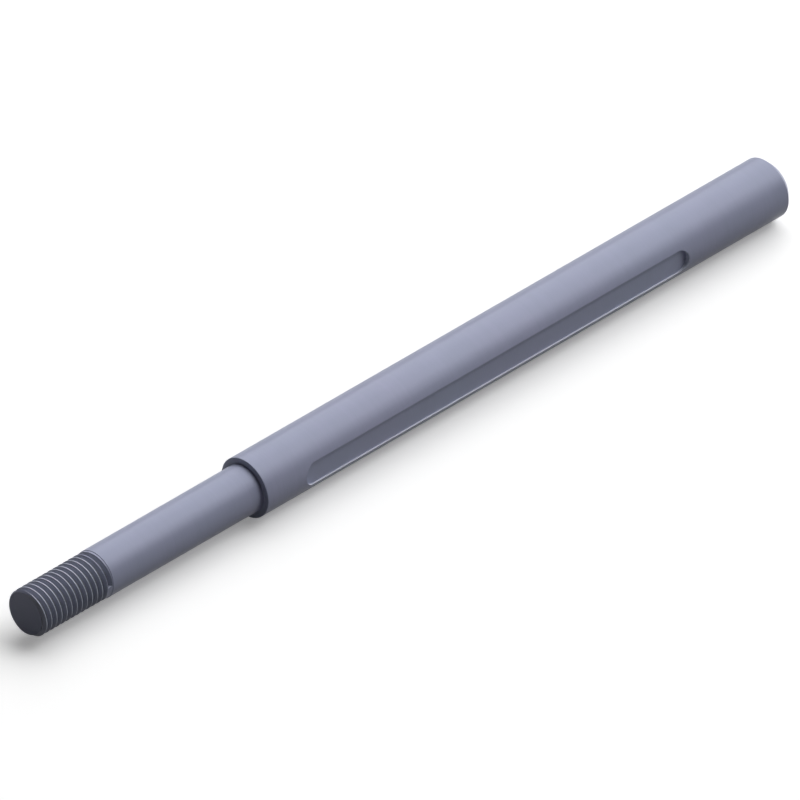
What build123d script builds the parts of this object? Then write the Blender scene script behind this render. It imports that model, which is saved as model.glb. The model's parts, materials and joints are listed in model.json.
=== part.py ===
from build123d import *
from math import ceil, radians, tan
import os

# Stepped shaft: one bar turned to two diameters, threaded at one end and keyed along the other.
# Its axis is X, and the origin is on the axis in the plane of the shoulder.  The journal and its
# thread run towards -X, the keyed seat towards +X, and the keyway opens towards -Y.

# Driving dimensions, millimetres and degrees
seat_d = 23.8125          # keyed seat, 15/16 in
seat_len = 268.3
seat_chamfer = 2.5
journal_d = 19.05         # bearing journal, 3/4 in
journal_len = 109.7       # from the shoulder to the threaded end's face
thread_undersize = 0.36   # under the journal's diameter over the crests, so that a bearing slides over
thread_chamfer = 0.7      # at the end, measured from the crests
thread_len = 33.0         # from the end face to where the groove stops
thread_pitch = 2.54       # 10 turns to the inch, right-handed
thread_angle = 60.0       # between the groove's flanks
keyway_w = 9.525          # 3/8 in
keyway_len = 195.0        # over its round ends
keyway_depth = 1.75       # from the crown of the seat to the floor
keyway_from_shoulder = 19.6

seat_r = seat_d / 2
journal_r = journal_d / 2
crest_drop = thread_undersize / 2
crest_r = journal_r - crest_drop

# Thread section: crests an eighth of the pitch wide, roots a quarter
crest_w = thread_pitch / 8
root_w = thread_pitch / 4
flank_slope = tan(radians(thread_angle / 2))
groove_depth = (thread_pitch - crest_w - root_w) / 2 / flank_slope
# The cutter stands proud of the bar by so little that its turns stay clear of each other
cutter_proud = crest_w / 4 / flank_slope
cutter_w = root_w + 2 * (groove_depth + cutter_proud) * flank_slope
# Whole turns, counted back from where the groove stops until they leave the bar's end
groove_end_x = thread_len - journal_len
turns = ceil(thread_len / thread_pitch) + 1
turn_starts = [(groove_end_x - (turn + 1) * thread_pitch, 0, 0) for turn in range(turns)]
# Past the groove the bar steps up at 45 degrees, from the crests to the journal
step_x = groove_end_x + thread_pitch / 2

# One turn of the thread cutter: its section swept along a right-hand helix, from the top
with BuildPart() as cutter_turn:
    with BuildLine() as helix:
        Helix(thread_pitch, thread_pitch, crest_r, direction=(1, 0, 0))
    with BuildSketch(Plane.XZ):
        with BuildLine():
            Polyline(
                (-root_w / 2, crest_r - groove_depth),
                (root_w / 2, crest_r - groove_depth),
                (cutter_w / 2, crest_r + cutter_proud),
                (-cutter_w / 2, crest_r + cutter_proud),
                close=True,
            )
        make_face()
    sweep(path=helix.line, is_frenet=True)

with BuildPart() as shaft:
    # Turned bar: half of its section, drawn on the keyway's side of the axis
    with BuildSketch(Plane.XY):
        with BuildLine():
            Polyline(
                (-journal_len, 0),
                (-journal_len, -crest_r + thread_chamfer),
                (-journal_len + thread_chamfer, -crest_r),
                (step_x, -crest_r),
                (step_x + crest_drop, -journal_r),
                (0, -journal_r),
                (0, -seat_r),
                (seat_len - seat_chamfer, -seat_r),
                (seat_len, -seat_r + seat_chamfer),
                (seat_len, 0),
                close=True,
            )
        make_face()
    revolve(axis=Axis.X)

    # Keyway: round-ended slot, milled to a flat floor
    with BuildSketch(Plane.XZ.offset(seat_r - keyway_depth)):
        with Locations((keyway_from_shoulder + keyway_len / 2, 0)):
            SlotOverall(keyway_len, keyway_w)
    extrude(amount=seat_r, mode=Mode.SUBTRACT)

    # Thread: the turns end to end, a quarter round so that the groove stops on the keyway's side
    with Locations(*turn_starts):
        add(cutter_turn.part, rotation=(90, 0, 0), mode=Mode.SUBTRACT)

shaft.part.label = "shaft"
os.makedirs("parts", exist_ok=True)
export_step(shaft.part, "parts/shaft.step")
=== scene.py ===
import json
from math import ceil, cos, pi, radians, sin, tan

import bmesh
import bpy
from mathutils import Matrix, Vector


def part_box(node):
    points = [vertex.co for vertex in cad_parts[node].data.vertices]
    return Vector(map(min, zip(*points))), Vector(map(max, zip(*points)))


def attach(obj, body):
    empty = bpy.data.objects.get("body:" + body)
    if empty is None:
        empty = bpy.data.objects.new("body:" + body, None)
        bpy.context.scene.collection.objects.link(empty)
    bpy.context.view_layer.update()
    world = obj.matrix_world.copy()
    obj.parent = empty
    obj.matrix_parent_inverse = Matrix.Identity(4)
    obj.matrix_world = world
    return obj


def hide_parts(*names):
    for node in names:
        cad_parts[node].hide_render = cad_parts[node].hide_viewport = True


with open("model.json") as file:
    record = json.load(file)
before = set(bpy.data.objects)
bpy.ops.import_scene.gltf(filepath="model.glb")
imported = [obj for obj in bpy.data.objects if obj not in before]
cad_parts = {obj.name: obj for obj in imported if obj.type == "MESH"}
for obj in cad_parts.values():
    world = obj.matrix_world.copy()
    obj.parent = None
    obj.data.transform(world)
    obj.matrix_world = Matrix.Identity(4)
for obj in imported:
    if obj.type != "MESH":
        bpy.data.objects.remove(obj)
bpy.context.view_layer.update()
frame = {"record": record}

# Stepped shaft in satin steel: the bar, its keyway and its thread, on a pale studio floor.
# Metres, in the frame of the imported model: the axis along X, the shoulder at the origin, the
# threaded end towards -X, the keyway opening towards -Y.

MM = 0.001

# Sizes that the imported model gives
LOW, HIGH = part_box("shaft")
MOUNTS = {mount["name"]: mount for mount in frame["record"]["mounts"]}
SEAT_R = MOUNTS["keyed_seat"]["dims"]["r_mm"] * MM
SEAT_CHAMFER = HIGH.x - MOUNTS["keyed_seat"]["dims"]["length_mm"] * MM
JOURNAL_R = MOUNTS["bearing_journal"]["dims"]["r_mm"] * MM
JOURNAL_END = -MOUNTS["bearing_journal"]["dims"]["length_mm"] * MM    # x where its plain stretch ends
KEYWAY_FLOOR = -MOUNTS["keyway_floor"]["pos_m"][1]    # its distance from the axis
KEYWAY_MIDDLE = MOUNTS["keyway_floor"]["pos_m"][0]

# Sizes that it doesn't state
KEYWAY_W = 9.525 * MM
KEYWAY_LEN = 195.0 * MM
THREAD_LEN = 33.0 * MM
THREAD_PITCH = 2.54 * MM
THREAD_FLANK = radians(30)    # between a flank and the plane across the axis
THREAD_CHAMFER = 0.7 * MM
CREST_DROP = 0.18 * MM        # crests below the journal's surface
CREST_R = JOURNAL_R - CREST_DROP
CORNER = 0.12 * MM            # small bevel in both corners of the shoulder

# Material slots of the piece. The crest, shoulder and keyway-wall slots take paler copies of the
# steel, as painted highlight and painted light, and the root slot a darker one, as painted shade
GROUND, CREST_PAINTED_HIGHLIGHT, FACED, SHOULDER_PAINTED_LIGHT, MILLED, WALL_PAINTED_LIGHT, FLANK, ROOT_PAINTED_SHADE = range(8)

# Fineness of the mesh
AROUND = 384              # facets round the bar
TURN_STEPS = 128          # facets round one turn of the thread
KEYWAY_END_STEPS = 48     # facets round one end of the keyway
SMOOTH_ANGLE = radians(20)
WELD = 0.001 * MM         # vertices as close as this become one

# Tool lines, as noise cells to the metre: across the lines, then along them
RINGS, RINGS_ALONG = 3000, 30
ARCS, ARCS_ALONG = 2200, 60
FLANK_LINES, FLANK_LINES_ALONG = 5000, 200

# The steel's shading: each noise's scale, and its share of the step from dark to light
BAND_SCALE = 0.13         # where the tool lines have 1
MOTTLE_SCALE = 90
PATCH_SCALE = 25
LINE_SHARE = 0.4
MOTTLE_SHARE = 0.3
BAND_SHARE = 0.3
DARK = 0.9                # the dark colour, as a share of the light one
VIOLET_TINT = (1.03, 0.98, 1.0)
METALLIC = 0.03
SPECULAR = 0.18
ROUGHNESS_SWING = 0.05
BUMP_STRENGTH = 0.35
NOISE_LOW, NOISE_HIGH = 0.3, 0.7    # the range that a noise mostly keeps to

# Inputs and output of a colour Mix node
MIX_FACTOR, MIX_A, MIX_B = 0, 6, 7
MIX_RESULT = 2

# The floor
FLOOR_REACH = 6
PAPER_GRAIN = 400
PAPER_WHITES = (0.98, 0.98, 0.98, 1), (1.0, 1.0, 1.0, 1)
PAPER_BOUNCE = (0.09, 0.09, 0.1, 1)    # its colour as a source of bounced light
FLOOR_GLOW = 0.24                      # share of its white that doesn't come from the lamps

WORLD_STRENGTH = 0.02

# The view
VIEW_AZIMUTH = radians(-45)
VIEW_ELEVATION = radians(35.264)
VIEW_WIDTH = 0.2874       # what the picture spans at the shaft
VIEW_DROP = 0.0006        # how far below the axis the camera aims
VIEW_NEARER = 0.00075     # how far from the middle, towards the threaded end
LENS = 1500               # millimetres, and long, so that there is next to no perspective
SENSOR = 36
CLIP_END = 100


# ---------------------------------------------------------------- meshes

def mesh_object(name, verts, faces, slots=None):
    """A mesh object; slots gives each face's material slot."""
    mesh = bpy.data.meshes.new(name)
    mesh.from_pydata(verts, [], faces)
    if slots:
        mesh.polygons.foreach_set("material_index", slots)
    mesh.update()
    piece = bpy.data.objects.new(name, mesh)
    bpy.context.scene.collection.objects.link(piece)
    return piece


def bar_section():
    """Half of the bar's section: x, radius, and the slot of the face that starts there."""
    return [
        (LOW.x, CREST_R - THREAD_CHAMFER, GROUND),
        # the crests take a paler finish than the steel: a painted highlight along them
        (LOW.x + THREAD_CHAMFER, CREST_R, CREST_PAINTED_HIGHLIGHT),
        (LOW.x + THREAD_LEN - THREAD_PITCH, CREST_R, GROUND),    # the last whole crest ends
        (JOURNAL_END - CREST_DROP, CREST_R, GROUND),             # 45 degree step to the journal
        (JOURNAL_END, JOURNAL_R, GROUND),
        (-CORNER, JOURNAL_R, GROUND),
        # the shoulder's finish is paler than the end face's: painted light that lifts the shade
        # beside the journal
        (0, JOURNAL_R + CORNER, SHOULDER_PAINTED_LIGHT),
        (0, SEAT_R - CORNER, GROUND),
        (CORNER, SEAT_R, GROUND),
        (HIGH.x - SEAT_CHAMFER, SEAT_R, GROUND),
        (HIGH.x, SEAT_R - SEAT_CHAMFER, FACED),
    ]


def turned_bar():
    """The bar before it is milled and threaded."""
    section = bar_section()
    verts = []
    for x, r, _ in section:
        for i in range(AROUND):
            a = 2 * pi * i / AROUND
            verts.append((x, r * cos(a), r * sin(a)))
    faces = [tuple(range(AROUND))]
    slots = [FACED]
    for row, (_, _, slot) in enumerate(section[:-1]):
        first = row * AROUND
        for i in range(AROUND):
            j = (i + 1) % AROUND
            faces.append((first + i, first + j, first + AROUND + j, first + AROUND + i))
            slots.append(slot)
    faces.append(tuple(range(len(verts) - AROUND, len(verts))))
    slots.append(section[-1][2])
    return mesh_object("shaft_body", verts, faces, slots)


def keyway_cutter():
    """A round-ended block that leaves the keyway with a flat floor."""
    half = KEYWAY_W / 2
    reach = KEYWAY_LEN / 2 - half
    outline = []
    for side in (1, -1):
        for i in range(KEYWAY_END_STEPS + 1):
            a = pi * i / KEYWAY_END_STEPS - pi / 2
            outline.append((KEYWAY_MIDDLE + side * (reach + half * cos(a)), side * half * sin(a)))
    count = len(outline)
    outside = 2 * SEAT_R
    verts = [(x, -KEYWAY_FLOOR, z) for x, z in outline]
    verts += [(x, -outside, z) for x, z in outline]
    faces = [tuple(range(count)), tuple(range(count, 2 * count))]
    for i in range(count):
        j = (i + 1) % count
        faces.append((i, j, j + count, i + count))
    # the keyway's walls take a near-white finish: painted light along them
    return mesh_object("keyway_cutter", verts, faces, [MILLED] * 2 + [WALL_PAINTED_LIGHT] * count)


def thread_cutter():
    """The V of the thread, along a right-hand helix that stops on the keyway's side."""
    crest = THREAD_PITCH / 8
    root = THREAD_PITCH / 4
    slope = tan(THREAD_FLANK)
    depth = (THREAD_PITCH - crest - root) / 2 / slope
    # The cutter stands proud of the bar by so little that its turns stay clear of each other
    proud = crest / 4 / slope
    top = root + 2 * (depth + proud) * slope
    section = [
        (-root / 2, CREST_R - depth),
        (root / 2, CREST_R - depth),
        (top / 2, CREST_R + proud),
        (-top / 2, CREST_R + proud),
    ]
    count = len(section)
    # Whole turns, counted back from where the groove stops until they leave the bar's end
    steps = (ceil(THREAD_LEN / THREAD_PITCH) + 1) * TURN_STEPS
    verts = []
    for step in range(steps + 1):
        turn = step / TURN_STEPS
        middle = LOW.x + THREAD_LEN - turn * THREAD_PITCH
        for x, r in section:
            verts.append((middle + x, -r * cos(2 * pi * turn), r * sin(2 * pi * turn)))
    faces = [tuple(range(count)), tuple(range(count * steps, count * (steps + 1)))]
    slots = [FLANK, FLANK]
    for step in range(steps):
        # the groove's root face takes a near-black finish: painted shade down in the groove
        for i, slot in enumerate((ROOT_PAINTED_SHADE, FLANK, FLANK, FLANK)):
            a = count * step + i
            b = count * step + (i + 1) % count
            faces.append((a, b, b + count, a + count))
            slots.append(slot)
    return mesh_object("thread_cutter", verts, faces, slots)


def outward(piece):
    """Turns every face of a closed mesh outwards."""
    bm = bmesh.new()
    bm.from_mesh(piece.data)
    bmesh.ops.recalc_face_normals(bm, faces=bm.faces)
    bm.to_mesh(piece.data)
    bm.free()


def cut(piece, cutter):
    """Takes the cutter's solid out of the piece, and the cutter out of the scene."""
    outward(cutter)
    boolean = piece.modifiers.new("cut", "BOOLEAN")
    boolean.operation = "DIFFERENCE"
    boolean.solver = "EXACT"
    boolean.object = cutter
    depsgraph = bpy.context.evaluated_depsgraph_get()
    result = bpy.data.meshes.new_from_object(piece.evaluated_get(depsgraph))
    piece.modifiers.clear()
    piece.data = result
    bpy.data.objects.remove(cutter)


def weld(piece):
    """Joins the vertices that the cuts leave on top of one another."""
    bm = bmesh.new()
    bm.from_mesh(piece.data)
    bmesh.ops.remove_doubles(bm, verts=bm.verts, dist=WELD)
    bmesh.ops.dissolve_degenerate(bm, edges=bm.edges, dist=WELD)
    bm.to_mesh(piece.data)
    bm.free()


def smooth_within(piece, angle):
    """Shades faces smooth, and keeps edges sharper than the angle."""
    piece.data.shade_smooth()
    piece.data.set_sharp_from_angle(angle=angle)


# ---------------------------------------------------------------- materials

class Nodes:
    """Short calls for building one material's nodes."""

    def __init__(self, name):
        self.material = bpy.data.materials.new(name)
        self.material.use_nodes = True
        self.tree = self.material.node_tree
        self.tree.nodes.clear()

    def add(self, kind, **settings):
        """A node of that kind, with its properties set."""
        node = self.tree.nodes.new(kind)
        for key, value in settings.items():
            setattr(node, key, value)
        return node

    def put(self, socket, value):
        """Links a socket to an output, or sets its value."""
        if isinstance(value, bpy.types.NodeSocket):
            self.tree.links.new(value, socket)
        else:
            socket.default_value = value

    def math(self, operation, a, b=0.0):
        """The result of a maths operation on one or two values."""
        node = self.add("ShaderNodeMath", operation=operation)
        self.put(node.inputs[0], a)
        self.put(node.inputs[1], b)
        return node.outputs[0]

    def times(self, a, b):
        """The product of two values."""
        return self.math("MULTIPLY", a, b)

    def vector(self, x=0.0, y=0.0, z=0.0):
        """A vector of three values."""
        node = self.add("ShaderNodeCombineXYZ")
        for socket, value in zip(node.inputs, (x, y, z)):
            self.put(socket, value)
        return node.outputs[0]

    def noise(self, vector, scale, detail=2.0):
        """Noise between 0 and 1."""
        node = self.add("ShaderNodeTexNoise")
        self.put(node.inputs["Vector"], vector)
        self.put(node.inputs["Scale"], scale)
        self.put(node.inputs["Detail"], detail)
        return node.outputs["Fac"]

    def spread(self, noise, low, high):
        """A noise, stretched to run from low to high."""
        node = self.add("ShaderNodeMapRange")
        self.put(node.inputs["Value"], noise)
        self.put(node.inputs["From Min"], NOISE_LOW)
        self.put(node.inputs["From Max"], NOISE_HIGH)
        self.put(node.inputs["To Min"], low)
        self.put(node.inputs["To Max"], high)
        return node.outputs["Result"]

    def blend(self, factor, a, b):
        """A colour between a and b."""
        node = self.add("ShaderNodeMix", data_type="RGBA")
        self.put(node.inputs[MIX_FACTOR], factor)
        self.put(node.inputs[MIX_A], a)
        self.put(node.inputs[MIX_B], b)
        return node.outputs[MIX_RESULT]

    def finish(self, surface):
        """The material, with its surface linked to the output."""
        output = self.add("ShaderNodeOutputMaterial")
        self.put(output.inputs["Surface"], surface)
        return self.material


def steel(name, lines_of, colour, roughness, depth):
    """Blue-grey steel with fine tool lines, in the given colour, which is paler or darker for the
    finishes that carry painted light or shade; lines_of gives the vector that the lines follow.
    """
    n = Nodes(name)
    place = n.add("ShaderNodeTexCoord").outputs["Object"]
    xyz = n.add("ShaderNodeSeparateXYZ")
    n.put(xyz.inputs[0], place)
    along = lines_of(n, *xyz.outputs)
    lines = n.noise(along, 1.0, detail=4.0)
    bands = n.noise(along, BAND_SCALE)
    mottle = n.noise(place, MOTTLE_SCALE, detail=3.0)
    patches = n.noise(place, PATCH_SCALE)

    shade = n.math("ADD", n.spread(lines, 0.0, LINE_SHARE), n.spread(mottle, 0.0, MOTTLE_SHARE))
    shade = n.math("ADD", shade, n.spread(bands, 0.0, BAND_SHARE))
    dark = [channel * DARK for channel in colour]
    tinted = [channel * tint for channel, tint in zip(colour, VIOLET_TINT)]
    light = n.blend(n.spread(patches, 0.0, 1.0), (*colour, 1), (*tinted, 1))

    surface = n.add("ShaderNodeBsdfPrincipled")
    n.put(surface.inputs["Base Color"], n.blend(shade, (*dark, 1), light))
    n.put(surface.inputs["Metallic"], METALLIC)
    n.put(surface.inputs["Specular IOR Level"], SPECULAR)
    swing = n.spread(bands, roughness - ROUGHNESS_SWING, roughness + ROUGHNESS_SWING)
    n.put(surface.inputs["Roughness"], swing)

    bump = n.add("ShaderNodeBump")
    n.put(bump.inputs["Strength"], BUMP_STRENGTH)
    n.put(bump.inputs["Distance"], depth)
    n.put(bump.inputs["Height"], lines)
    n.put(surface.inputs["Normal"], bump.outputs[0])
    return n.finish(surface.outputs[0])


def turned_lines(n, x, y, z):
    """Rings round the bar, about a third of a millimetre apart."""
    return n.vector(n.times(x, RINGS), n.times(y, RINGS_ALONG), n.times(z, RINGS_ALONG))


def radius_of(n, y, z):
    """Distance from the axis."""
    return n.math("SQRT", n.math("ADD", n.times(y, y), n.times(z, z)))


def faced_lines(n, x, y, z):
    """Rings on an end face, about the axis."""
    return n.vector(n.times(radius_of(n, y, z), RINGS))


def milled_lines(n, x, y, z):
    """Arcs that the end of the milling cutter leaves as it travels along the keyway."""
    half = KEYWAY_W / 2
    inside = n.math("MAXIMUM", n.math("SUBTRACT", half * half, n.times(z, z)), 0.0)
    travel = n.math("SUBTRACT", x, n.math("SQRT", inside))
    return n.vector(n.times(travel, ARCS), n.times(z, ARCS_ALONG))


def thread_lines(n, x, y, z):
    """Lines that run round each flank."""
    return n.vector(n.times(radius_of(n, y, z), FLANK_LINES), n.times(x, FLANK_LINES_ALONG))


def floor_paper():
    """White to the camera and in reflections, and nearly black as a source of bounced light."""
    n = Nodes("floor_paper")
    place = n.add("ShaderNodeTexCoord").outputs["Object"]
    grain = n.noise(place, PAPER_GRAIN)
    path = n.add("ShaderNodeLightPath")
    seen = n.math("MAXIMUM", path.outputs["Is Camera Ray"], path.outputs["Is Glossy Ray"])
    seen = n.math("MAXIMUM", seen, path.outputs["Is Transmission Ray"])
    paper = n.add("ShaderNodeBsdfDiffuse")
    n.put(paper.inputs["Color"], n.blend(seen, PAPER_BOUNCE, n.blend(grain, *PAPER_WHITES)))
    glow = n.add("ShaderNodeEmission")
    n.put(glow.inputs["Strength"], n.times(seen, FLOOR_GLOW))
    both = n.add("ShaderNodeAddShader")
    n.put(both.inputs[0], paper.outputs[0])
    n.put(both.inputs[1], glow.outputs[0])
    return n.finish(both.outputs[0])


# ---------------------------------------------------------------- the object

shaft_body = turned_bar()
# One finish for each material slot, in the order of the slots; the crests', the shoulder's and the
# keyway walls' finishes are paler than the steel with painted light, and the roots' is darker with
# painted shade
for finish in (
    steel("ground_steel", turned_lines, (0.40, 0.43, 0.58), roughness=0.36, depth=0.004 * MM),
    # crests: much paler than the steel, a painted highlight
    steel("crest_painted_highlight", turned_lines, (0.62, 0.68, 0.80), roughness=0.36, depth=0.004 * MM),
    steel("faced_steel", faced_lines, (0.40, 0.43, 0.56), roughness=0.5, depth=0.008 * MM),
    # shoulder: the faced steel made paler, painted light over its shade
    steel("shoulder_painted_light", faced_lines, (0.60, 0.64, 0.78), roughness=0.5, depth=0.008 * MM),
    steel("milled_steel", milled_lines, (0.45, 0.49, 0.65), roughness=0.45, depth=0.01 * MM),
    # keyway walls: near white, painted light so the walls show as light lines
    steel("keyway_wall_painted_light", milled_lines, (0.86, 0.90, 1.0), roughness=0.4, depth=0.004 * MM),
    steel("flank_steel", thread_lines, (0.45, 0.48, 0.58), roughness=0.42, depth=0.008 * MM),
    # roots: near black, painted shade in the groove
    steel("root_painted_shade", thread_lines, (0.12, 0.13, 0.16), roughness=0.5, depth=0.008 * MM),
):
    shaft_body.data.materials.append(finish)
outward(shaft_body)
cut(shaft_body, keyway_cutter())
cut(shaft_body, thread_cutter())
weld(shaft_body)
smooth_within(shaft_body, SMOOTH_ANGLE)
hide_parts("shaft")
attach(shaft_body, "root")


# ---------------------------------------------------------------- the stage

MIDDLE = Vector(((LOW.x + HIGH.x) / 2, 0, 0))

floor = mesh_object(
    "floor",
    [(x * FLOOR_REACH, y * FLOOR_REACH, -SEAT_R) for x, y in ((-1, -1), (1, -1), (1, 1), (-1, 1))],
    [(0, 1, 2, 3)],
)
floor.data.materials.append(floor_paper())


def area_light(name, offset, size, power):
    """A square soft light at an offset from the middle of the shaft, which it faces."""
    light = bpy.data.lights.new(name, "AREA")
    light.shape = "SQUARE"
    light.size = size
    light.energy = power
    lamp = bpy.data.objects.new(name, light)
    lamp.location = MIDDLE + Vector(offset)
    lamp.rotation_euler = Vector(offset).to_track_quat("Z", "Y").to_euler()
    bpy.context.scene.collection.objects.link(lamp)


area_light("overhead_softbox", offset=(4.4, 1.6, 4.8), size=9.6, power=640)
area_light("side_fill", offset=(3.6, -3.4, 5.05), size=4.6, power=145)

world = bpy.data.worlds.new("studio")
world.use_nodes = True
background = world.node_tree.nodes["Background"]
background.inputs["Color"].default_value = (1, 1, 1, 1)
background.inputs["Strength"].default_value = WORLD_STRENGTH
bpy.context.scene.world = world

back = Vector((
    sin(VIEW_AZIMUTH) * cos(VIEW_ELEVATION),
    -cos(VIEW_AZIMUTH) * cos(VIEW_ELEVATION),
    sin(VIEW_ELEVATION),
))
camera_data = bpy.data.cameras.new("camera")
camera_data.lens = LENS
camera_data.sensor_width = SENSOR
camera_data.clip_end = CLIP_END
camera = bpy.data.objects.new("camera", camera_data)
camera.rotation_euler = back.to_track_quat("Z", "Y").to_euler()
upward = camera.rotation_euler.to_matrix() @ Vector((0, 1, 0))
aim = MIDDLE - Vector((VIEW_NEARER, 0, 0)) - VIEW_DROP * upward
camera.location = aim + back * (VIEW_WIDTH * LENS / SENSOR)
bpy.context.scene.collection.objects.link(camera)
bpy.context.scene.camera = camera

bpy.context.scene.view_settings.view_transform = "Standard"


bpy.context.view_layer.update()
